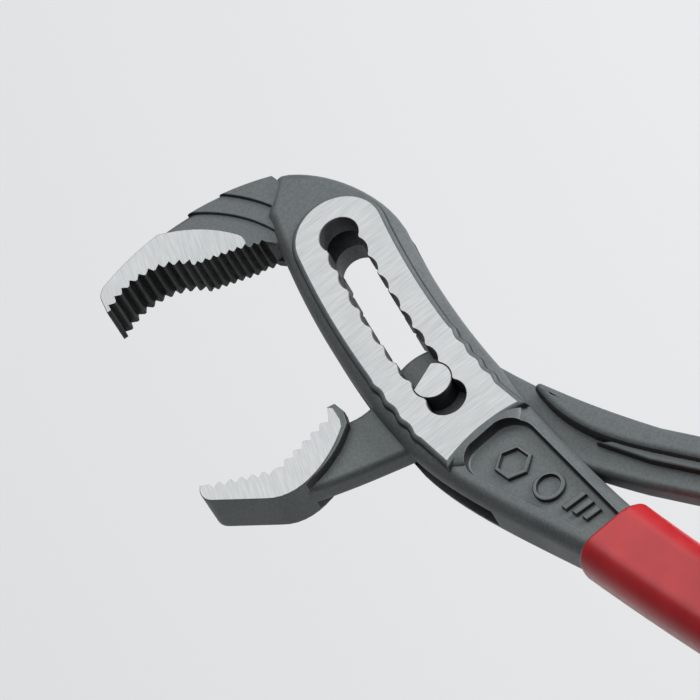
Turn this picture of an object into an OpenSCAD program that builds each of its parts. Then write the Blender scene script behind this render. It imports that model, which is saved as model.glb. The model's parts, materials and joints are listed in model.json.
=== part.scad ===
// Box-joint tongue and groove pliers, 250 mm long.
// The slotted leg carries the upper jaw, the other leg passes through its box
// and is held by a pin with flatted ends that locks into one of ten scallops.

/* [Joint] */
// Thickness of the box over its two ground faces
box_thick = 12; // [11:0.5:14]
// Thickness of the leg where it passes through the box
web_thick = 4.3; // [3.8:0.1:4.8]
// Side clearance between that leg and each cheek
web_play = 0.05; // [0.03:0.01:0.1]
// Radius of the curve that the ten scallops lie on
slot_radius = 161; // [140:1:190]
// Angle between neighbouring scallops, seen from the centre of that curve
slot_step = 1.5; // [1.45:0.01:1.55]
// Number of scallops
slot_count = 10; // [10:1:10]
// Scallop that the pin sits in, counted from the jaw end
home_slot = 9; // [9:1:9]
// Radius of each scallop
scallop_r = 3.2; // [3.15:0.01:3.3]
// Half width of the straight passage between scallops
passage_half = 2.62; // [2.5:0.01:2.7]
// Radius of the pin
pin_r = 3.15; // [3.05:0.01:3.17]
// Distance from pin centre to the flat on each pin end
pin_flat = 1.85; // [1.7:0.05:1.95]
// Opening angle at which the flats line up with the slot
release_angle = 65; // [60:1:68]

/* [Box] */
// Half width of the box, measured from the slot curve
box_half = 9.65; // [9.3:0.05:10]
// Half width of the ground plateau around the slot
plateau_half = 6.9; // [6.5:0.1:7.2]
// Step from the ground plateau down to the forged face
plateau_step = 1; // [0.8:0.1:1.4]
// Radius of the hollow edge in which the plateau ends towards the handle
plateau_end_r = 25; // [20:1:35]

/* [Jaws] */
// Thickness of both jaws
jaw_thick = 8; // [7:0.5:9]
// Radius of the back of the upper jaw
jaw_back_r = 41.5; // [40:0.5:43]
// Radius of the toothed hollow in the upper jaw
hollow_r = 11; // [10:0.5:12]
// Radius of the upper edge of the ground strip on the upper jaw
strip_r = 23.5; // [22:0.5:25]
// Height of the jaw teeth
tooth_depth = 0.8; // [0.5:0.1:1]

/* [Handles] */
// Thickness of the raised handle face of the other leg
raised_thick = 9.2; // [8:0.2:10]
// Thickness of either handle inside its grip
tang_thick = 8; // [7:0.5:8.6]
// Half width of either handle inside its grip
tang_half = 4.6; // [4.2:0.1:5]
// Depth of the long panel in the handle of the slotted leg
panel_depth = 0.8; // [0.4:0.1:1]
// Wall of the plastic grips
grip_wall = 1.7; // [1.2:0.1:1.9]
// Direction of the whole tool, measured from the slot at the pin
tool_tilt = 23; // [23:1:23]

/* [Hidden] */
$fn = 96;
cavity = web_thick + 2 * web_play;
forged_thick = box_thick - 2 * plateau_step;
pin_x = -62.55;
pin_y = 2.84;
jaw_back_at = [-15.5, -17.5];
hollow_at = [-41, -25.5];
strip_at = [-36, -29];
outer_end = [170.4, 52];
inner_end = [160.4, 86];

steel = [0.55, 0.57, 0.58];
ground = [0.78, 0.79, 0.8];
red = [0.78, 0.18, 0.2];

// A point on a curve parallel to the slot, `k` scallops from the pin, `off` above the slot curve.
function along(k, off) =
    [(slot_radius - off) * sin(k * slot_step),
     slot_radius - (slot_radius - off) * cos(k * slot_step)];

// Points from k0 to k1 on a curve parallel to the slot.
function parallel_run(k0, k1, off, n) = [for (i = [0 : n]) along(k0 + (k1 - k0) * i / n, off)];

// Points on a circle.
function ring(c, r, a0, a1, n) =
    [for (i = [0 : n]) c + r * [cos(a0 + (a1 - a0) * i / n), sin(a0 + (a1 - a0) * i / n)]];

// Cubic curve and its side point at distance d to the left of travel.
function cubic(p, t) =
    p[0] * pow(1 - t, 3) + 3 * p[1] * t * pow(1 - t, 2) + 3 * p[2] * t * t * (1 - t) + p[3] * pow(t, 3);
function cubic_slope(p, t) =
    3 * (p[1] - p[0]) * pow(1 - t, 2) + 6 * (p[2] - p[1]) * t * (1 - t) + 3 * (p[3] - p[2]) * t * t;
function side(p, t, d) =
    let (s = cubic_slope(p, t)) cubic(p, t) + d * [-s[1], s[0]] / norm(s);
function cubic_run(p, t0, t1, n) = [for (i = [0 : n]) cubic(p, t0 + (t1 - t0) * i / n)];
function reverse(v) = [for (i = [len(v) - 1 : -1 : 0]) v[i]];

// Saw teeth along a circle arc: flat tops on the arc, valleys cut to its outside by `deep`.
function saw_arc(c, r, a0, a1, n, deep) =
    [for (i = [0 : n - 1], j = [0 : 2])
        let (a = a0 + (a1 - a0) * (i + [0.1, 0.55, 0.9][j]) / n, q = j == 1 ? r + deep : r)
        c + q * [cos(a), sin(a)]];

// Saw teeth along a straight line, valleys cut to the left of travel.
function saw_line(p0, p1, n, deep) =
    let (u = (p1 - p0) / norm(p1 - p0), v = [-u[1], u[0]])
    [for (i = [0 : n - 1], j = [0 : 2])
        p0 + (p1 - p0) * (i + [0.1, 0.55, 0.9][j]) / n + (j == 1 ? deep : 0) * v];

module slab(thick) {
    translate([0, 0, -thick / 2])
        linear_extrude(thick)
            children();
}

// Lay the tool flat with its back ground face on z = 0 and its length along x.
module lay_flat() {
    translate([pin_x, pin_y, box_thick / 2])
        rotate([0, 0, -tool_tilt])
            children();
}

// ---- slotted leg ----

// Each handle centre line is divided in 25 steps, and these are the steps where the grips begin.
outer_first = 5;
inner_first = 9;
outer_line = [[9, 0.8], [60, 8], [118, 24], outer_end];
inner_line = [[20, 9.2], [58, 34], [106, 68], inner_end];

// Both sides of a handle to its round end and back, beginning `late` past step `first` of its centre line.
function tang_run(line, first, half, late = 0) =
    let (e = line[3] - line[2], a = atan2(e[1], e[0]))
    concat(
        [side(line, (first + late) / 25, half)],
        [for (i = [first + 1 : 24]) side(line, i / 25, half)],
        ring(line[3], half, a + 90, a - 90, 12),
        [for (i = [24 : -1 : first + 1]) side(line, i / 25, -half)],
        [side(line, (first + late) / 25, -half)]);

module tang_shape(line, first, half, late = 0) {
    polygon(tang_run(line, first, half, late));
}

// The box with its rounded head, running on into the handle as far as the grip.
module box_shape() {
    lower = [[4, -box_half], [15, -9.6], [27, -4.5], side(outer_line, outer_first / 25, -5.2)];
    upper = [side(outer_line, outer_first / 25, 5.2), [30, 10], [20, 9.4], [9, 9.3]];
    head = [along(-7.4, box_half), [-38, 13.5], [-48, 8.5], [-51.5, 3.5]];
    polygon(concat(
        parallel_run(0.9, -7.4, box_half, 14),
        cubic_run(head, 0.125, 0.95, 7),
        ring([-50, 2.4], 1.8, 145, 225, 5),
        [[-46.5, -3.5]],
        parallel_run(-10.2, 0, -box_half, 16),
        cubic_run(lower, 0.1, 1, 9),
        cubic_run(upper, 0, 1, 9)));
}

// Room for the other leg: open below and above, closed towards the handle and around the last scallop.
module cavity_shape() {
    polygon(concat(
        [[37.5, 14], [36, 9.3], [27, 4.7], [21.5, 2.2], [21.5, -1], [24, -6], [27, -11]],
        parallel_run(5, -8, -14, 10),
        [[-44, -12], [-42.8, -5]],
        ring(along(-8, 0), 9.4, 212, 102, 9),
        parallel_run(-8, 4, 15, 10)));
}

module slot_shape() {
    for (k = [1 - home_slot : slot_count - home_slot])
        translate(along(k, 0))
            circle(scallop_r);
    polygon(concat(
        parallel_run(1 - home_slot, slot_count - home_slot, passage_half, 20),
        parallel_run(slot_count - home_slot, 1 - home_slot, -passage_half, 20)));
}

module plateau_shape() {
    polygon(concat(
        parallel_run(2.4, -8, plateau_half, 16),
        ring(along(-8, 0), plateau_half, 102, 258, 16),
        parallel_run(-8, 2, -plateau_half, 16),
        ring([13 + plateau_end_r, 2.5], plateau_end_r, 201, 166, 8)));
}

// Concave jaw with its hooked tip; the teeth run from the tip to the box.
module upper_jaw_shape() {
    polygon(concat(
        [[-44, 3], [-51.4, 2]],
        ring(jaw_back_at, jaw_back_r, 155, 196.5, 12),
        ring([-52.4, -28.9], 2.9, 200, 265, 4),
        saw_arc(hollow_at, hollow_r, 213, 128, 10, tooth_depth),
        saw_line([-47.5, -16.8], [-43, -5.6], 8, tooth_depth),
        [[-42, -3]]));
}

module upper_jaw_ground_shape() {
    intersection() {
        upper_jaw_shape();
        translate(strip_at)
            circle(strip_r);
    }
}

// A hexagon ring beside a round ring, and a row of bars: the two shapes that the jaws hold.
module panel_marks() {
    translate([20.5, 1.6])
        rotate([0, 0, 12])
            difference() {
                circle(3.1, $fn = 6);
                circle(2.1, $fn = 6);
            }
    translate([28, 3.3])
        difference() {
            circle(2.6);
            circle(1.8);
        }
    for (i = [0 : 2])
        translate([33 + 1.9 * i, 4.9 + 0.4 * i])
            rotate([0, 0, 12])
                square([0.8, 4 - 0.6 * i], center = true);
}

module panel_shape() {
    polygon(concat(
        [[39.5, 8.6]],
        ring([18, 2.6], 4.6, 95, 175, 6),
        ring([17, -1.4], 3.2, 190, 285, 6),
        [[38.6, 2.9]]));
}

module outer_leg() {
    color(steel)
        lay_flat()
            difference() {
                union() {
                    slab(forged_thick)
                        box_shape();
                    slab(box_thick)
                        plateau_shape();
                    slab(jaw_thick - 1)
                        upper_jaw_shape();
                    slab(jaw_thick)
                        upper_jaw_ground_shape();
                    slab(tang_thick)
                        tang_shape(outer_line, outer_first - 1, tang_half);
                }
                slab(cavity)
                    cavity_shape();
                slab(2 * box_thick)
                    slot_shape();
                for (s = [0, 1])
                    mirror([0, 0, s])
                        translate([0, 0, forged_thick / 2 - panel_depth])
                            linear_extrude(box_thick)
                                difference() {
                                    panel_shape();
                                    panel_marks();
                                }
            }
}

// ---- leg that passes through the box ----

// Curves of the edges: the arm above and below, its raised face below, the neck and the back of the jaw.
arm_top = [[1, 9.4], [12, 12.6], [22, 17.2], side(inner_line, 0.12, tang_half)];
arm_bottom = [side(inner_line, 0.12, -tang_half), [24, 7], [14, 3.5], [6, -4]];
raised_low = [[12.6, 11.3], [19.5, 11.1], [26, 13.4], side(inner_line, 0.12, 0.2)];
neck_back = [[-3, -29.5], [0, -26.5], [2.5, -19], [6, -7]];
jaw_back = [[-4.8, -15], [-1.6, -18.5], [2.2, -26.5], [-2.5, -31.2]];

// Hub, the neck down to the jaw and the arm up to the handle, all as thin as the box's cavity needs.
module web_shape() {
    circle(8.8);
    polygon(concat(
        [[-7, 0]],
        ring([-14.5, -10.8], 8.5, 30, -25, 6),
        [[-5, -20], [-4, -28]],
        cubic_run(neck_back, 0, 1, 10),
        [[5, -3]]));
    polygon(concat(
        [[0.6, 0.6], [-2, 8]],
        cubic_run(arm_top, 0, 0.9, 9),
        tang_run(inner_line, 3, tang_half),
        cubic_run(arm_bottom, 0.1, 1, 9)));
}

module lower_jaw_shape() {
    polygon(concat(
        [[-7.5, -14.1], [-6, -14.5]],
        cubic_run(jaw_back, 0, 1, 10),
        ring([-10.2, -36], 2.5, -40, -125, 6),
        reverse(saw_line([-5.9, -27.2], [-11.3, -36.6], 6, tooth_depth)),
        saw_line([-5.9, -26.9], [-8, -15.4], 6, -tooth_depth)));
}

module raised_shape() {
    polygon(concat(
        reverse(ring([11.9, 12.1], 0.8, 130, 270, 4)),
        cubic_run(arm_top, 0.4, 0.9, 5),
        [for (i = [3 : inner_first]) side(inner_line, i / 25, tang_half)],
        [for (i = [inner_first : -1 : 3]) side(inner_line, i / 25, 0.2)],
        reverse(cubic_run(raised_low, 0, 0.9, 8))));
}

module inner_leg() {
    color(steel)
        lay_flat()
            difference() {
                union() {
                    slab(web_thick)
                        web_shape();
                    slab(jaw_thick)
                        lower_jaw_shape();
                    slab(raised_thick)
                        raised_shape();
                    slab(tang_thick)
                        tang_shape(inner_line, inner_first - 1, tang_half);
                }
                slab(2 * box_thick)
                    circle(pin_r);
            }
}

// ---- pin, pressed into the leg, its flatted ends ground flush with the box ----

module pin_section() {
    difference() {
        circle(pin_r);
        rotate([0, 0, 180 - release_angle])
            translate([-10, pin_flat])
                square(20);
    }
}

module pivot_pin() {
    color(ground)
        lay_flat()
            difference() {
                union() {
                    slab(web_thick)
                        circle(pin_r);
                    slab(box_thick)
                        pin_section();
                }
                translate([0, 0, -box_thick])
                    cylinder(h = box_thick + 5, r = 1);
            }
}

// Core of the pin: the carriage between the slot and the pivot.
module pin_core() {
    color(ground)
        lay_flat()
            translate([0, 0, 0.1 - box_thick / 2])
                cylinder(h = box_thick / 2 + 4.6, r = 0.96);
}

// ---- plastic grips ----

module grip(line, first) {
    difference() {
        for (i = [0 : 3])
            slab(tang_thick + 2 * grip_wall * [1, 0.8, 0.45, -0.12][i])
                tang_shape(line, first, tang_half + grip_wall * [0.1, 0.55, 0.85, 1][i],
                    [0.12, 0.06, 0.02, 0.08][i]);
        slab(tang_thick)
            tang_shape(line, first - 1, tang_half);
    }
}

module outer_grip() {
    color(red)
        lay_flat()
            grip(outer_line, outer_first);
}

module inner_grip() {
    color(red)
        lay_flat()
            grip(inner_line, inner_first);
}

outer_leg();
inner_leg();
pivot_pin();
pin_core();
outer_grip();
inner_grip();
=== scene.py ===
import json
from math import acos, atan2, cos, degrees, hypot, pi, radians, sin

import bmesh
import bpy
from mathutils import Matrix, Vector


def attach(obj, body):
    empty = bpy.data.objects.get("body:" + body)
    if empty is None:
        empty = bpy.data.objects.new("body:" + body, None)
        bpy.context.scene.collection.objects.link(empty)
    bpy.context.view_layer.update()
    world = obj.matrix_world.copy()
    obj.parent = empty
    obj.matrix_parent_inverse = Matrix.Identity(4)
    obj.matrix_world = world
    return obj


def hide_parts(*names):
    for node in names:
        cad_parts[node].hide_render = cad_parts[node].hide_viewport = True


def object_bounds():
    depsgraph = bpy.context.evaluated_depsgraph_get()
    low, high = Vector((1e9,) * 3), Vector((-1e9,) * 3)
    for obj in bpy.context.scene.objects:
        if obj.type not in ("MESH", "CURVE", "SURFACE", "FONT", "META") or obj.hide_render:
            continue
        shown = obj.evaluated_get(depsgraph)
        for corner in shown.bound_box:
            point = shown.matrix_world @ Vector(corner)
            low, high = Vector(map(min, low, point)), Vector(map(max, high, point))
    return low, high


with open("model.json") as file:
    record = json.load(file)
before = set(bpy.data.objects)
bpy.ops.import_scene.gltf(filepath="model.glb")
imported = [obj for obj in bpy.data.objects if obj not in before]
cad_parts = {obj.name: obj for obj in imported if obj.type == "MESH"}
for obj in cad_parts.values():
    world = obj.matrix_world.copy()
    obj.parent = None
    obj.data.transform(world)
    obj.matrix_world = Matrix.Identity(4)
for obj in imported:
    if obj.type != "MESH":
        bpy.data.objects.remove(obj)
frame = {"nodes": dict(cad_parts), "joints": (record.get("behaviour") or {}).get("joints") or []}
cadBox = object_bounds()
jointAt = {j["name"]: Vector(j["pos_m"]) for j in frame["joints"]}
print("frame loaded")

# Outlines are drawn in millimetres in the tool's own plane: pin at 0,0, the slot along x, and the middle
# plane at height 0.
tool = {
    "turn": -23,           # degrees from the slot at the pin to the length of the tool
    "slotRadius": 161,
    "scallopStep": 1.5,    # degrees between neighbouring scallops
    "boxHalf": 9.65,       # from the slot's curve to the long edges of the box
}
place = (
    Matrix.Translation(jointAt["pivot"])
    @ Matrix.Rotation(radians(tool["turn"]), 4, "Z")
    @ Matrix.Scale(0.001, 4)
)


def along(k, off):
    # a point k scallops from the pin and off above the slot's curve
    a, r = radians(k * tool["scallopStep"]), tool["slotRadius"] - off
    return (r * sin(a), tool["slotRadius"] - r * cos(a))


def alongRun(first, last, off, count, wave=0.0, pitch=1.0, phase=0.0):
    run = []
    for i in range(count + 1):
        k = first + (last - first) * i / count
        run.append(along(k, off + wave * cos(2 * pi * (k - phase) / pitch)))
    return run


def arc(centre, radius, start, end, count):
    return [
        (centre[0] + radius * cos(radians(start + (end - start) * i / count)),
         centre[1] + radius * sin(radians(start + (end - start) * i / count)))
        for i in range(count + 1)
    ]


def crossing(a, radiusA, b, radiusB, side):
    # direction, seen from a, in which two circles cross
    apart = hypot(b[0] - a[0], b[1] - a[1])
    corner = acos((radiusA ** 2 + apart ** 2 - radiusB ** 2) / (2 * radiusA * apart))
    return degrees(atan2(b[1] - a[1], b[0] - a[0]) + side * corner) % 360


def curve(line, first=0.0, last=1.0, count=10, off=0.0):
    # a stretch of a cubic curve, or of its parallel
    return [handleSide(line, first + (last - first) * i / count, off) for i in range(count + 1)]


def handleSide(line, t, off):
    # a point beside a handle's centre line
    s = 1 - t
    x, y = (line[0][c] * s ** 3 + 3 * line[1][c] * t * s * s + 3 * line[2][c] * t * t * s
            + line[3][c] * t ** 3 for c in (0, 1))
    dx, dy = (3 * (line[1][c] - line[0][c]) * s * s + 6 * (line[2][c] - line[1][c]) * t * s
              + 3 * (line[3][c] - line[2][c]) * t * t for c in (0, 1))
    long = hypot(dx, dy)
    return (x - off * dy / long, y + off * dx / long)


def crown(top, high, wide, draft=0.1, low=0.0, count=6):
    # rings of a wall that leans in by the draft and rounds over, high by wide, into a flat top
    turns = [pi / 2 * i / count for i in range(1, count + 1)]
    return [(low, 0), (top - high, draft)] + [
        (top - high + high * sin(a), draft + wide * (1 - cos(a))) for a in turns]


def handleRun(line, start, half, steps=26, swell=0.0):
    # both sides of a handle and its round end, wider by the swell where it starts
    turn = degrees(atan2(line[3][1] - line[2][1], line[3][0] - line[2][0]))
    sides = [(start + (1 - start) * i / steps, half + swell * (1 - i / steps) ** 2) for i in range(steps)]
    return (
        [handleSide(line, t, -wide) for t, wide in sides]
        + arc(line[3], half, turn - 90, turn + 90, 18)
        + [handleSide(line, t, wide) for t, wide in reversed(sides)]
    )


def toothSteps(count, depth):
    # flats with a valley between them, as parts of the whole run
    tooth = ((0.1, 0), (0.5, 1), (0.9, 0))
    return [((i + part) / count, low * depth) for i in range(count) for part, low in tooth]


def toothRing(centre, radius, start, end, count, depth):
    # teeth round a hollow, with their valleys outwards
    steps = toothSteps(count, depth)
    return [arc(centre, radius + deep, start + (end - start) * t, 0, 1)[0] for t, deep in steps]


def toothLine(start, end, count, depth):
    # teeth on a straight run, with their valleys to its left
    across, up = end[0] - start[0], end[1] - start[1]
    long = hypot(across, up)
    return [
        (start[0] + across * t - up / long * deep, start[1] + up * t + across / long * deep)
        for t, deep in toothSteps(count, depth)
    ]


def scallops(radius, passage):
    # outline of the slot: ten scallops joined by a passage
    reach = degrees(pi / 2) - degrees(atan2(passage, (radius ** 2 - passage ** 2) ** 0.5))
    run = []
    for side in (-1, 1):
        for k in (range(-8, 2) if side < 0 else range(1, -9, -1)):
            tangent = k * tool["scallopStep"]
            low, high = side * 90 - reach, side * 90 + reach
            if k == 1:
                low, high = (low, 0) if side < 0 else (0, high)
            if k == -8:
                low, high = (-180, high) if side < 0 else (low, 180)
            run += arc(along(k, 0), radius, tangent + low, tangent + high, 12 if k in (1, -8) else 6)
    return [p for i, p in enumerate(run) if hypot(p[0] - run[i - 1][0], p[1] - run[i - 1][1]) > 0.02]


def newObject(name, mesh):
    data = bpy.data.meshes.new(name)
    mesh.to_mesh(data)
    mesh.free()
    body = bpy.data.objects.new(name, data)
    bpy.context.scene.collection.objects.link(body)
    for finish in finishes:
        data.materials.append(finish)
    return body


def untangle(before, verts):
    # where an inset is deeper than a corner is round, the crossed stretch becomes one sharp corner
    runs = [[i] for i in range(len(verts))]
    spots = [v.co.to_2d() for v in verts]
    crossed = True
    while crossed and len(runs) > 3:
        crossed = False
        for n in range(len(runs)):
            a, b = runs[n - 1], runs[n]
            ahead = (before[b[0]] - before[a[-1]]).to_2d()
            if (spots[b[0]] - spots[a[-1]]).dot(ahead) > 0:
                continue
            joined = a + b
            first, last, count = joined[0], joined[-1], len(verts)
            one = (before[first] - before[first - 1]).to_2d()
            two = (before[(last + 1) % count] - before[last]).to_2d()
            gap, turned = spots[last] - spots[first], one.x * two.y - one.y * two.x
            corner = (spots[first] + spots[last]) / 2
            if abs(turned) > 0.05 * one.length * two.length:
                corner = spots[first] + one * ((gap.x * two.y - gap.y * two.x) / turned)
            for i in joined:
                spots[i] = corner
            runs[n] = joined
            del runs[n - 1]
            crossed = True
            break
    for vert, spot in zip(verts, spots):
        vert.co.x, vert.co.y = spot


def slab(name, outline, rings, wall=0, top=0, shadeFinish=None, shadedFacing=None):
    # An outline grown through rings of (height, inset) and mirrored in the middle plane: welded there if the
    # rings start or end at height 0, and otherwise a separate pair. A near-black painted shade finish goes on
    # the steep walls, or only on those turned the given way, away from the light.
    mesh = bmesh.new()
    area = sum(outline[i - 1][0] * p[1] - p[0] * outline[i - 1][1] for i, p in enumerate(outline))
    corners = [mesh.verts.new((x, y, rings[0][0])) for x, y in (outline if area > 0 else outline[::-1])]
    cap = mesh.faces.new(corners)
    inset = rings[0][1]
    for height, further in rings[1:]:
        before = [v.co.copy() for v in cap.verts]
        bmesh.ops.inset_region(mesh, faces=[cap], thickness=max(further - inset, 0.002), depth=0,
                               use_even_offset=True, use_boundary=True)
        untangle(before, cap.verts)
        for vert in cap.verts:
            vert.co.z = height
        inset = further
    if rings[-1][0] == 0:
        bmesh.ops.delete(mesh, geom=[cap], context="FACES_ONLY")
    if rings[0][0] != 0:
        mesh.faces.new(corners[::-1])
    mesh.normal_update()
    flat = max(rings[0][0], rings[-1][0])
    for f in mesh.faces:
        # steep walls take the painted shade finish, or only those that face away from the light
        steep = shadeFinish is not None and abs(f.normal.z) < 0.72 and (
            shadedFacing is None or f.normal.to_2d().dot(shadedFacing) > 0)
        f.material_index = top if abs(f.calc_center_median().z - flat) < 1e-4 else shadeFinish if steep else wall
    welded = 0 in (rings[0][0], rings[-1][0])
    bmesh.ops.mirror(mesh, geom=mesh.verts[:] + mesh.edges[:] + mesh.faces[:], axis="Z",
                     merge_dist=0.0004 if welded else 1e-7)
    bmesh.ops.remove_doubles(mesh, verts=mesh.verts, dist=0.0008)
    bmesh.ops.recalc_face_normals(mesh, faces=mesh.faces[:])
    return newObject(name, mesh)


def settle(body):
    shaped = bpy.data.meshes.new_from_object(body.evaluated_get(bpy.context.evaluated_depsgraph_get()))
    body.modifiers.clear()
    body.data = shaped


def combine(body, operation, *others):
    for other in others:
        step = body.modifiers.new("step", "BOOLEAN")
        step.object, step.operation, step.solver = other, operation, "EXACT"
        settle(body)
        bpy.data.objects.remove(other)


def finishPiece(body, name, rides, replaced, crisp=32):
    # placed in the tool's frame, smooth over soft edges and sharp over crisp ones
    body.name = body.data.name = name
    mesh = bmesh.new()
    mesh.from_mesh(body.data)
    bmesh.ops.transform(mesh, matrix=place, verts=mesh.verts)
    for f in mesh.faces:
        f.smooth = True
    for e in mesh.edges:
        e.smooth = len(e.link_faces) == 2 and e.calc_face_angle() < radians(crisp)
    mesh.to_mesh(body.data)
    mesh.free()
    shading = body.modifiers.new("flatFaces", "WEIGHTED_NORMAL")
    shading.keep_sharp = True
    shading.weight = 80
    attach(body, rides)
    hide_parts(*replaced)
    print(name, "built with", len(body.data.polygons), "faces")


def nodeGroup(name, inputs, outputs):
    group = bpy.data.node_groups.new(name, "ShaderNodeTree")
    for label, kind, value in inputs:
        group.interface.new_socket(label, in_out="INPUT", socket_type=kind).default_value = value
    for label, kind in outputs:
        group.interface.new_socket(label, in_out="OUTPUT", socket_type=kind)
    return group, group.nodes.new("NodeGroupInput"), group.nodes.new("NodeGroupOutput")


def addNode(tree, kind, **settings):
    made = tree.nodes.new("ShaderNode" + kind)
    for key, value in settings.items():
        if hasattr(made, key):
            setattr(made, key, value)
        else:
            made.inputs[key.replace("_", " ")].default_value = value
    return made


def noise(tree, vector, scale, detail=3.0, rough=0.55):
    made = addNode(tree, "TexNoise", Scale=scale, Detail=detail, Roughness=rough)
    tree.links.new(vector, made.inputs["Vector"])
    return made.outputs["Fac"]


def reckon(tree, operation, a, b, clamp=False):
    made = addNode(tree, "Math", operation=operation, use_clamp=clamp)
    for socket, value in zip(made.inputs, (a, b)):
        if isinstance(value, (int, float)):
            socket.default_value = value
        else:
            tree.links.new(value, socket)
    return made.outputs[0]


def spread(tree, value, low, high, lowTo, highTo):
    made = addNode(tree, "MapRange", From_Min=low, From_Max=high, To_Min=lowTo, To_Max=highTo)
    tree.links.new(value, made.inputs["Value"])
    return made.outputs["Result"]


def buildForgedGrain():
    # fine speckle of a phosphated forging: cloudy tone, pin-point grain and a height
    group, given, out = nodeGroup(
        "forgedGrain",
        [("Dark", "NodeSocketColor", (0.08, 0.09, 0.09, 1)),
         ("Light", "NodeSocketColor", (0.2, 0.21, 0.21, 1)), ("Grain Size", "NodeSocketFloat", 2300.0)],
        [("Colour", "NodeSocketColor"), ("Roughness", "NodeSocketFloat"), ("Height", "NodeSocketFloat")])
    where = addNode(group, "TexCoord").outputs["Object"]
    fine = addNode(group, "TexNoise", Detail=4.0, Roughness=0.65)
    group.links.new(where, fine.inputs["Vector"])
    group.links.new(given.outputs["Grain Size"], fine.inputs["Scale"])
    cloudy = noise(group, where, 110, 4, 0.6)
    tone = reckon(group, "ADD", reckon(group, "MULTIPLY", fine.outputs["Fac"], 0.75),
                reckon(group, "MULTIPLY", cloudy, 0.35))
    mix = addNode(group, "Mix", data_type="RGBA")
    group.links.new(spread(group, tone, 0.38, 0.72, 0.0, 1.0), mix.inputs["Factor"])
    group.links.new(given.outputs["Dark"], mix.inputs["A"])
    group.links.new(given.outputs["Light"], mix.inputs["B"])
    group.links.new(mix.outputs["Result"], out.inputs["Colour"])
    group.links.new(spread(group, cloudy, 0.3, 0.7, 0.46, 0.62), out.inputs["Roughness"])
    group.links.new(tone, out.inputs["Height"])
    return group


def buildGrindLines():
    # long fine scratches of a surface grinder, along one direction
    group, given, out = nodeGroup(
        "grindLines",
        [("Direction", "NodeSocketFloat", 0.0), ("Dark", "NodeSocketColor", (0.3, 0.3, 0.3, 1)),
         ("Light", "NodeSocketColor", (0.7, 0.7, 0.7, 1))],
        [("Colour", "NodeSocketColor"), ("Roughness", "NodeSocketFloat"), ("Height", "NodeSocketFloat")])
    where = addNode(group, "TexCoord").outputs["Object"]
    turn = addNode(group, "CombineXYZ")
    group.links.new(given.outputs["Direction"], turn.inputs["Z"])
    turned = addNode(group, "Mapping")
    group.links.new(where, turned.inputs["Vector"])
    group.links.new(turn.outputs[0], turned.inputs["Rotation"])
    lines = []
    for stretch, scale in (((0.025, 1, 1), 9000), ((0.04, 1, 1), 4200)):
        squeezed = addNode(group, "Mapping")
        squeezed.inputs["Scale"].default_value = stretch
        group.links.new(turned.outputs["Vector"], squeezed.inputs["Vector"])
        lines.append(noise(group, squeezed.outputs["Vector"], scale, 3, 0.6))
    fine, broad = reckon(group, "MULTIPLY", lines[0], 0.6), reckon(group, "MULTIPLY", lines[1], 0.4)
    both = reckon(group, "ADD", fine, broad)
    cloudy = noise(group, where, 60, 3, 0.5)
    tone = reckon(group, "ADD", both, reckon(group, "MULTIPLY", reckon(group, "SUBTRACT", cloudy, 0.5), 0.25))
    mix = addNode(group, "Mix", data_type="RGBA")
    group.links.new(spread(group, tone, 0.36, 0.64, 0.0, 1.0), mix.inputs["Factor"])
    group.links.new(given.outputs["Dark"], mix.inputs["A"])
    group.links.new(given.outputs["Light"], mix.inputs["B"])
    group.links.new(mix.outputs["Result"], out.inputs["Colour"])
    group.links.new(spread(group, both, 0.3, 0.7, 0.5, 0.34), out.inputs["Roughness"])
    group.links.new(both, out.inputs["Height"])
    return group


def buildWornEdges():
    # a mask of the edges that rub against hands and other tools, broken up by a cloudy pattern
    group, given, out = nodeGroup(
        "wornEdges", [("Width", "NodeSocketFloat", 0.0004)], [("Mask", "NodeSocketFloat")])
    rounded = addNode(group, "Bevel", samples=6)
    group.links.new(given.outputs["Width"], rounded.inputs["Radius"])
    turned = addNode(group, "VectorMath", operation="DOT_PRODUCT")
    group.links.new(rounded.outputs["Normal"], turned.inputs[0])
    group.links.new(addNode(group, "NewGeometry").outputs["Normal"], turned.inputs[1])
    edge = spread(group, turned.outputs["Value"], 0.99, 0.84, 0.0, 1.0)
    where = addNode(group, "TexCoord").outputs["Object"]
    broken = spread(group, noise(group, where, 420, 3), 0.38, 0.62, 0.25, 1.0)
    group.links.new(reckon(group, "MULTIPLY", edge, broken, clamp=True), out.inputs["Mask"])
    return group


def principled(name, metallic=0.0, coat=0.0, specular=0.5, coatRoughness=0.1):
    finish = bpy.data.materials.new(name)
    finish.use_nodes = True
    tree = finish.node_tree
    shader = tree.nodes["Principled BSDF"]
    shader.inputs["Metallic"].default_value = metallic
    shader.inputs["Specular IOR Level"].default_value = specular
    shader.inputs["Coat Weight"].default_value = coat
    shader.inputs["Coat Roughness"].default_value = coatRoughness
    return finish, tree, shader


def surface(tree, shader, group, values, bump, distance, wear=0.35):
    part = tree.nodes.new("ShaderNodeGroup")
    part.node_tree = group
    for key, value in values.items():
        part.inputs[key].default_value = value
    worn = tree.nodes.new("ShaderNodeGroup")
    worn.node_tree = wornEdges
    rubbed = addNode(tree, "Mix", data_type="RGBA")
    tree.links.new(reckon(tree, "MULTIPLY", worn.outputs["Mask"], wear), rubbed.inputs["Factor"])
    tree.links.new(part.outputs["Colour"], rubbed.inputs["A"])
    rubbed.inputs["B"].default_value = steel["rubbed"]
    tree.links.new(rubbed.outputs["Result"], shader.inputs["Base Color"])
    tree.links.new(part.outputs["Roughness"], shader.inputs["Roughness"])
    raised = addNode(tree, "Bump", Strength=bump, Distance=distance)
    tree.links.new(part.outputs["Height"], raised.inputs["Height"])
    tree.links.new(raised.outputs["Normal"], shader.inputs["Normal"])
    return part


forgedGrain, grindLines, wornEdges = buildForgedGrain(), buildGrindLines(), buildWornEdges()

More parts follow.
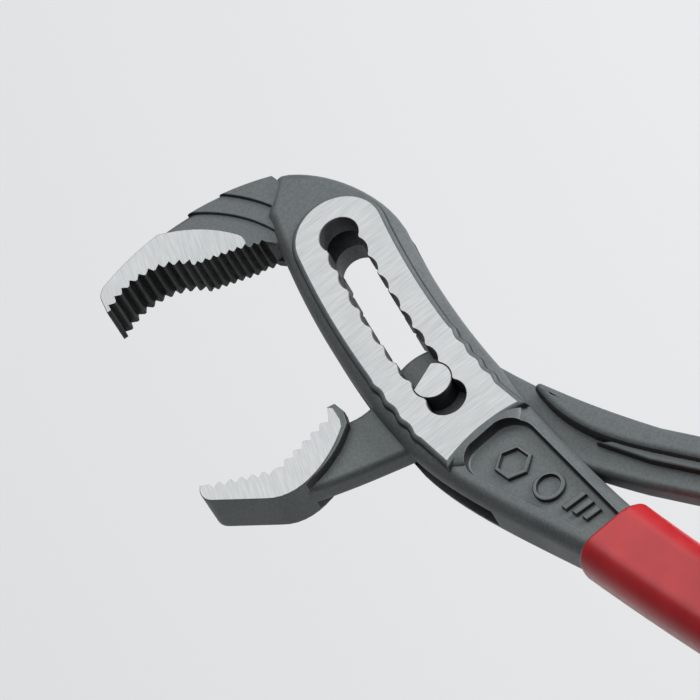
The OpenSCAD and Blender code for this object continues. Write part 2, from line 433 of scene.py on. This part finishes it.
steel = {
    "forgedDark": (0.1, 0.115, 0.117, 1), "forgedLight": (0.155, 0.172, 0.175, 1),
    "groundDark": (0.4, 0.414, 0.42, 1), "groundLight": (0.52, 0.534, 0.54, 1),
    "rubbed": (0.32, 0.34, 0.345, 1),
    "plateauLines": radians(-67), "jawLines": radians(39),
}


def forgedSteel(name, dark, light, metallic=0.35):
    finish, tree, shader = principled(name, metallic=metallic, specular=0.4)
    surface(tree, shader, forgedGrain, {"Dark": dark, "Light": light}, 0.45, 0.0001)
    return finish


def groundSteel(name, direction, dark, light):
    finish, tree, shader = principled(name, metallic=1.0)
    surface(tree, shader, grindLines, {"Direction": direction, "Dark": dark, "Light": light}, 0.25, 0.00004)
    return finish


finishes = [
    forgedSteel("phosphatedForging", steel["forgedDark"], steel["forgedLight"]),
    groundSteel("groundPlateau", steel["plateauLines"], steel["groundDark"], steel["groundLight"]),
    groundSteel("groundJaw", steel["jawLines"], steel["groundDark"], steel["groundLight"]),
    forgedSteel("milledSlot", (0.05, 0.055, 0.056, 1), (0.12, 0.126, 0.13, 1), 0.6),
    forgedSteel("blackTeeth", (0.006, 0.006, 0.007, 1), (0.03, 0.031, 0.032, 1), 0.4),
    # painted shade: a near-black finish on step walls, standing in for the shade on walls turned from the
    # light
    forgedSteel("paintedShadeOnSteps", (0.016, 0.018, 0.018, 1), (0.04, 0.044, 0.045, 1), 0.2),
]
# scale is the index of the painted shade finish for step walls
forged, plateau, jawFace, milled, toothed, scale = range(6)
print("steel finishes built")


outerLeg = {
    "blank": crown(5.0, 2.7, 2.2),
    "plateau": crown(6.0, 1.1, 0.9, 0.2, 4.6),
    "plateauHalf": 6.9,
    "plateauEnd": 25,          # radius of the plateau's hollow end
    "shoulder": crown(5.97, 0.95, 4.2, 0.3, 4.6),
    "handle": [(9, 0.8), (60, 8), (118, 24), (170.4, 52)],
    "lower": [(4, -9.65), (15, -9.6), (27, -4.5), (45, 2)],
    "upper": [(47, 12.2), (34, 10), (20, 9.4), (9, 9.3)],
    "tang": crown(4.0, 0.4, 0.4),
}

head = [along(-7.4, tool["boxHalf"]), (-38, 13.5), (-48, 8.5), (-51.5, 3.5)]
blank = (
    alongRun(0.9, -7.4, tool["boxHalf"], 24) + curve(head, 0.1, 0.95, 12) + arc((-50, 2.4), 1.8, 145, 225, 8)
    + [(-46.5, -3.5)] + alongRun(-10.2, 0, -tool["boxHalf"], 30)
    + curve(outerLeg["lower"], 0.1, 1, 14) + curve(outerLeg["upper"], 0, 1, 14)
)
slottedLeg = slab("slottedLeg", blank, outerLeg["blank"])

half = outerLeg["plateauHalf"] + 1.1
plateauEdge = (
    alongRun(2.05, -1.6, half, 36, 0.18, 0.95, 0.5) + alongRun(-1.9, -8, half, 18)
    + arc(along(-8, 0), half, 78, 264, 30)[1:-1] + alongRun(-8, -1.9, -half, 18)
    + alongRun(-1.6, 1.75, -half, 34, -0.18, 0.95, 0.5)
    + arc((13.3 + outerLeg["plateauEnd"], 2.5), outerLeg["plateauEnd"], 202, 165, 16)
)
# the plateau's steep walls get the painted shade finish
combine(slottedLeg, "UNION", slab("plateau", plateauEdge, outerLeg["plateau"], forged, plateau, scale))

shoulder = [(2, -6.4)] + arc((9.5, -0.4), 7.6, 290, 360, 8) + arc((10.5, 2.2), 6.6, 0, 70, 8) + [(2, 7.4)]
combine(slottedLeg, "UNION", slab("shoulder", shoulder, outerLeg["shoulder"]))

# The upper jaw steps down from the head in two facets, and all its edges run round the same centre.
upper = {
    "back": (-15.5, -17.5), "backRadius": 41.5,
    "centre": (-36, -29), "stripRadius": 23.5, "facetRadii": (26.4, 29.6), "facetTops": (4.1, 4.65),
    "hollow": (-41, -25.5), "hollowRadius": 11, "hollowTeeth": 10, "straightTeeth": 9,
    "tip": (-52.4, -28.9), "tipRadius": 2.9,
}
teeth = {"depth": 0.85, "fineDepth": 0.6, "lowerRun": 6, "cut": [(9, 0), (0, 0.01)]}
jawTip = arc(upper["tip"], upper["tipRadius"], 200, 265, 6)
upperJaw = slab(
    "upperJaw",
    [(-42, 3), (-49, 2.5)] + arc(upper["back"], upper["backRadius"], 152, 196.5, 22) + jawTip
    + [(-44, -33), (-40, -26), (-41, -6)],
    crown(3.6, 1.1, 1.1))


def alongBack(radius, inward, start):
    # the back of the jaw to where a circle round the common centre leaves it, and the way back on that circle
    back = upper["backRadius"] - inward
    meets = crossing(upper["back"], back, upper["centre"], radius, -1)
    leaves = crossing(upper["centre"], radius, upper["back"], back, 1)
    return arc(upper["back"], back, start, meets, 8), arc(upper["centre"], radius, leaves, 100, 14)


# the facets' steep walls get the painted shade finish
for radius, top in zip(upper["facetRadii"], upper["facetTops"]):
    outside, edge = alongBack(radius, 0.05, 152.5)
    facet = [(-40, 3), (-48, 2.5)] + outside[:-1] + edge
    combine(upperJaw, "UNION", slab("facet", facet, crown(top, 0.6, 0.35, 0.05), shadeFinish=scale))
outside, edge = alongBack(upper["stripRadius"], 0.1, 196.3)
strip = (
    arc((-45.9, -10.8), 2.8, 0, 118, 8) + [p for p in edge if p[0] < -46.6][::-1] + outside[:-1][::-1]
    + arc(upper["tip"], upper["tipRadius"] - 0.1, 200, 265, 6) + [(-46, -33), (-40, -30), (-40, -12)]
)
combine(upperJaw, "UNION", slab("jawStrip", strip, crown(4.0, 0.12, 0.12, 0.04), forged, jawFace))
combine(slottedLeg, "UNION", upperJaw)
combine(slottedLeg, "UNION", slab("tang", handleRun(outerLeg["handle"], 0.16, 4.6), outerLeg["tang"]))

# Teeth run round the hollow of the jaw and then straight to the box.
upperTeeth = (
    [(-38, -34), (-50.4, -34)]
    + toothRing(upper["hollow"], upper["hollowRadius"], 213, 128, upper["hollowTeeth"], teeth["depth"])
    + toothLine((-47.5, -16.8), (-43, -5.6), upper["straightTeeth"], teeth["fineDepth"])
    + [(-41.5, -4.5), (-34, -12)]
)
combine(slottedLeg, "DIFFERENCE", slab("upperTeeth", upperTeeth, teeth["cut"], toothed, toothed))

cavity = (
    [(37.5, 14), (36, 9.3), (27, 4.7), (21.5, 2.2), (21.5, -1), (24, -6), (27, -11)]
    + alongRun(5, -8, -14, 10) + [(-44, -12), (-42.8, -5)]
    + arc(along(-8, 0), 9.4, 212, 102, 9) + alongRun(-8, 4, 15, 10)
)
combine(
    slottedLeg, "DIFFERENCE",
    slab("cavity", cavity, [(2.2, 0), (0, 0.01)], milled, milled),
    slab("slot", scallops(3.32, 2.74), [(6.4, 0), (6.0, 0.001), (5.9, 0.12), (0, 0.125)], milled, milled),
)
panelEdge = (
    [(44, 9)] + arc((18.2, 2.7), 4.7, 95, 175, 10) + arc((17.2, -1.3), 3.3, 190, 285, 10) + [(44, 4.9)]
)
panelCut = crown(3.9, -1.15, 0.7, 0.1, 6.4)
# the panel's steep walls get the painted shade finish
combine(slottedLeg, "DIFFERENCE", slab("panel", panelEdge, panelCut, shadeFinish=scale))
# the steep walls of the relief bars and marks, and of the marks' hollows, get the painted shade finish
relief = crown(4.6, 0.25, 0.25, 0.1, 3.7, 3)
for x, y, long in ((33, 4.9, 2.1), (34.9, 5.3, 1.8), (36.8, 5.7, 1.5)):
    bar = [(x - 0.55, y - long), (x + 0.55, y - long + 0.2), (x + 0.55, y + long), (x - 0.55, y + long - 0.2)]
    combine(slottedLeg, "UNION", slab("bar", bar, relief, shadeFinish=scale))
for centre, radius, sides, turn in (((20.5, 1.6), 3.15, 6, 12), ((28, 3.4), 2.65, 32, 0)):
    mark = arc(centre, radius, turn, turn + 360, sides)[:-1]
    hollow = arc(centre, radius - 0.62, turn, turn + 360, sides)[:-1]
    combine(slottedLeg, "UNION", slab("mark", mark, relief, shadeFinish=scale))
    combine(slottedLeg, "DIFFERENCE",
            slab("markHollow", hollow, [(5.0, 0), (4.4, 0.06), (3.9, 0.26)], shadeFinish=scale))
finishPiece(slottedLeg, "slottedLeg", "slotted_leg", ["outer_leg"])


innerLeg = {
    "web": crown(2.15, 1.2, 1.1),
    "jaw": crown(4.0, 0.15, 0.12, 0.02),
    "root": crown(3.8, 0.4, 0.3, 0.25, 1.9),
    "raised": crown(4.6, 1.2, 1.3, 0.15),
    "ledge": crown(3.6, 0.6, 0.5),
    "handle": [(20, 9.2), (58, 34), (106, 68), (160.4, 86)],
    "neckBack": [(-3, -29.5), (0, -26.5), (2.5, -19), (6, -7)],
    "jawBack": [(-4.8, -15), (-1.6, -18.5), (2.2, -26.5), (-2.5, -31.2)],
    "tang": crown(4.0, 0.4, 0.4),
}
handle = innerLeg["handle"]
armTop = [(1, 9.4), (12, 12.6), (22, 17.2), handleSide(handle, 0.12, 4.6)]
armBottom = [handleSide(handle, 0.12, -4.6), (24, 7), (14, 3.5), (6, -4)]
raisedLow = [(12.6, 11.3), (19.5, 11.1), (26, 13.4), handleSide(handle, 0.12, 0.2)]
web = (
    arc((0, 0), 8.8, 95, 205, 20) + arc((-14.5, -10.8), 8.5, 30, -25, 8) + [(-8, -18), (-7, -27)]
    + curve(innerLeg["neckBack"], 0, 0.95, 12) + curve(armBottom[::-1], 0.12, 1, 14)[:-1]
    + handleRun(handle, 0.12, 4.6) + curve(armTop, 0.05, 0.95, 10)[::-1]
)
swingingLeg = slab("swingingLeg", web, innerLeg["web"])

jawBack = curve(innerLeg["jawBack"], 0, 1, 14) + arc((-10.2, -36), 2.5, -40, -125, 8)
lowerJaw = [(-8.6, -14.2), (-6, -14.5)] + jawBack + [(-13.6, -36.5), (-10, -28), (-11, -16)]
rootEdge = (
    [(-9.4, -13.6), (-7.0, -13.2), (-4.9, -13.9)]
    + [handleSide(innerLeg["jawBack"], 0.05 + 0.05 * i, 0.6 * cos(pi / 24 * i) - 0.05) for i in range(13)]
    + [(-4, -27), (-10, -27), (-10, -16)]
)
raised = (
    arc((11.9, 12.1), 0.8, 270, 130, 6) + curve(armTop, 0.4, 0.95, 8, -0.15)
    + [handleSide(handle, 0.12 + 0.26 * i / 8, 4.45) for i in range(9)]
    + [handleSide(handle, 0.38 - 0.26 * i / 8, 0.2) for i in range(9)]
    + curve(raisedLow, 0.02, 0.95, 10)[::-1]
)
ledge = (
    [(30, 18), (26, 13.2)] + [handleSide(handle, 0.12 + 0.26 * i / 8, -1.1) for i in range(9)]
    + [handleSide(handle, 0.38 - 0.26 * i / 8, 2) for i in range(9)]
)
# painted shade on the steep walls of the jaw root, and on those walls of the raised face and ledge that face
# away from the light
combine(
    swingingLeg, "UNION",
    slab("jawRoot", rootEdge, innerLeg["root"], shadeFinish=scale),
    slab("lowerJaw", lowerJaw, innerLeg["jaw"], forged, jawFace),
    slab("raised", raised, innerLeg["raised"], shadeFinish=scale, shadedFacing=(0.45, -0.9)),
    slab("ledge", ledge, innerLeg["ledge"], shadeFinish=scale, shadedFacing=(0.45, -0.9)),
    slab("tang", handleRun(handle, 0.33, 4.6), innerLeg["tang"]),
)
lowerTeeth = (
    [(-16, -12)] + toothLine((-8, -15.4), (-5.9, -26.9), teeth["lowerRun"], teeth["depth"])
    + toothLine((-5.9, -27.2), (-11.3, -36.6), teeth["lowerRun"], teeth["depth"])
    + [(-12.5, -38.6), (-20, -36), (-20, -12)]
)
combine(swingingLeg, "DIFFERENCE", slab("lowerTeeth", lowerTeeth, teeth["cut"], toothed, toothed))
combine(swingingLeg, "DIFFERENCE",
        slab("pinHole", arc((0, 0), 3.15, 0, 360, 48)[:-1], [(9, 0), (0, 0.01)], milled, milled))
finishPiece(swingingLeg, "swingingLeg", "swinging_leg", ["inner_leg"])


pin = {"radius": 3.15, "flat": 1.85, "release": 65, "rings": [(0, 0), (5.88, 0.01), (5.98, 0.11)]}
reach = degrees(atan2((pin["radius"] ** 2 - pin["flat"] ** 2) ** 0.5, pin["flat"]))
turn = 180 - pin["release"] + 90
pinBody = slab("pinBody", arc((0, 0), pin["radius"], turn + reach, turn + 360 - reach, 40), pin["rings"],
               milled, plateau)
combine(
    pinBody, "UNION",
    slab("pinBand", arc((0, 0), 3.149, 0, 360, 48)[:-1], [(0, 0), (2.14, 0.01)], milled, milled))
bore = bmesh.new()
bmesh.ops.create_cone(bore, cap_ends=True, segments=32, radius1=1, radius2=1, depth=12,
                      matrix=Matrix.Translation((0, 0, -7)))
combine(pinBody, "DIFFERENCE", newObject("bore", bore))
finishPiece(pinBody, "pinBody", "swinging_leg", ["pivot_pin"])
core = frame["nodes"]["pin_core"]
core.data.materials.clear()
core.data.materials.append(finishes[plateau])


grips = {
    "half": 6.25,
    "swell": 0.75,         # added to each side at the lip
    "rings": crown(5.66, 4.9, 4.1, 0.1, count=8),
    "lipRound": 0.9,
    "lipSlant": 0.22,      # leans the lip, per hundredth of the centre line
    "dark": (0.38, 0.008, 0.014, 1),
    "light": (0.52, 0.018, 0.024, 1),
}


def dippedPlastic():
    finish, tree, shader = principled("dippedPlastic", coat=0.15, coatRoughness=0.3)
    where = addNode(tree, "TexCoord").outputs["Object"]
    mix = addNode(tree, "Mix", data_type="RGBA")
    mix.inputs["A"].default_value, mix.inputs["B"].default_value = grips["dark"], grips["light"]
    tree.links.new(spread(tree, noise(tree, where, 90, 3), 0.3, 0.7, 0.0, 1.0), mix.inputs["Factor"])
    tree.links.new(mix.outputs["Result"], shader.inputs["Base Color"])
    tree.links.new(spread(tree, noise(tree, where, 900, 2), 0.3, 0.7, 0.3, 0.42), shader.inputs["Roughness"])
    raised = addNode(tree, "Bump", Strength=0.12, Distance=0.0003)
    tree.links.new(noise(tree, where, 260, 3), raised.inputs["Height"])
    tree.links.new(raised.outputs["Normal"], shader.inputs["Normal"])
    return finish


redPlastic = dippedPlastic()


def dippedGrip(name, line, start, rides, node):
    body = slab(name, handleRun(line, start - 0.08, grips["half"], 40, grips["swell"]), grips["rings"])
    lip = Vector(handleSide(line, start, 0)).to_3d()
    back = Vector(handleSide(line, start - 0.01, grips["lipSlant"])).to_3d()
    mesh = bmesh.new()
    mesh.from_mesh(body.data)
    bmesh.ops.bisect_plane(mesh, geom=mesh.verts[:] + mesh.edges[:] + mesh.faces[:], plane_co=lip,
                           plane_no=(lip - back).normalized(), clear_inner=True)
    rim = [e for e in mesh.edges if e.is_boundary]
    bmesh.ops.edgeloop_fill(mesh, edges=rim)
    bmesh.ops.bevel(mesh, geom=rim, affect="EDGES", offset=grips["lipRound"], segments=4, profile=0.5,
                    material=-1)
    bmesh.ops.recalc_face_normals(mesh, faces=mesh.faces[:])
    mesh.to_mesh(body.data)
    mesh.free()
    body.data.materials.clear()
    body.data.materials.append(redPlastic)
    finishPiece(body, name, rides, [node], 60)


dippedGrip("outerGrip", outerLeg["handle"], 0.2, "slotted_leg", "outer_grip")
dippedGrip("innerGrip", innerLeg["handle"], 0.36, "swinging_leg", "inner_grip")


studio = {
    "floorDrop": 0.3, "floorColour": (0.8, 0.805, 0.81, 1), "air": (0.95, 0.98, 1.0, 1), "airStrength": 0.16,
    "lens": 378, "lookAt": (-0.0781, 0.0022, 0.012), "distance": 1.132,
    "azimuth": -29.4, "elevation": 52.4, "roll": -31.8,      # degrees
}
floorMesh = bmesh.new()
bmesh.ops.create_grid(floorMesh, x_segments=1, y_segments=1, size=4,
                      matrix=Matrix.Translation((0, 0, cadBox[0][2] - studio["floorDrop"])))
floorData = bpy.data.meshes.new("studioFloor")
floorMesh.to_mesh(floorData)
floorMesh.free()
floor = bpy.data.objects.new("studioFloor", floorData)
bpy.context.scene.collection.objects.link(floor)
paper, paperTree, paperShader = principled("studioPaper", specular=0.2)
paperShader.inputs["Base Color"].default_value = studio["floorColour"]
paperShader.inputs["Roughness"].default_value = 0.9
floorData.materials.append(paper)

world = bpy.data.worlds.new("studioAir")
bpy.context.scene.world = world
world.use_nodes = True
world.node_tree.nodes["Background"].inputs["Color"].default_value = studio["air"]
world.node_tree.nodes["Background"].inputs["Strength"].default_value = studio["airStrength"]


def softbox(name, at, target, size, power):
    lamp = bpy.data.lights.new(name, "AREA")
    lamp.shape, lamp.size, lamp.size_y, lamp.energy = "RECTANGLE", size[0], size[1], power
    holder = bpy.data.objects.new(name, lamp)
    holder.location = at
    holder.rotation_euler = (Vector(target) - Vector(at)).to_track_quat("-Z", "Y").to_euler()
    bpy.context.scene.collection.objects.link(holder)


softbox("overheadSoftbox", (-0.5, 0.45, 1.4), (-0.06, 0, 0), (2.2, 2.2), 21)
softbox("backSoftbox", (0.45, 1.1, 0.55), (-0.06, 0, 0), (0.8, 0.5), 16)

camera = bpy.data.objects.new("studioCamera", bpy.data.cameras.new("studioCamera"))
camera.data.lens = studio["lens"]
camera.data.sensor_width = 36
camera.data.clip_end = 20
level, turned = radians(studio["elevation"]), radians(studio["azimuth"])
away = Vector((cos(level) * cos(turned), cos(level) * sin(turned), sin(level)))
camera.location = Vector(studio["lookAt"]) + studio["distance"] * away
rolled = Matrix.Rotation(radians(studio["roll"]), 3, "Z").to_quaternion()
camera.rotation_euler = ((-away).to_track_quat("-Z", "Y") @ rolled).to_euler()
bpy.context.scene.collection.objects.link(camera)
bpy.context.scene.camera = camera
bpy.context.scene.view_settings.view_transform = "Standard"
print("studio built")
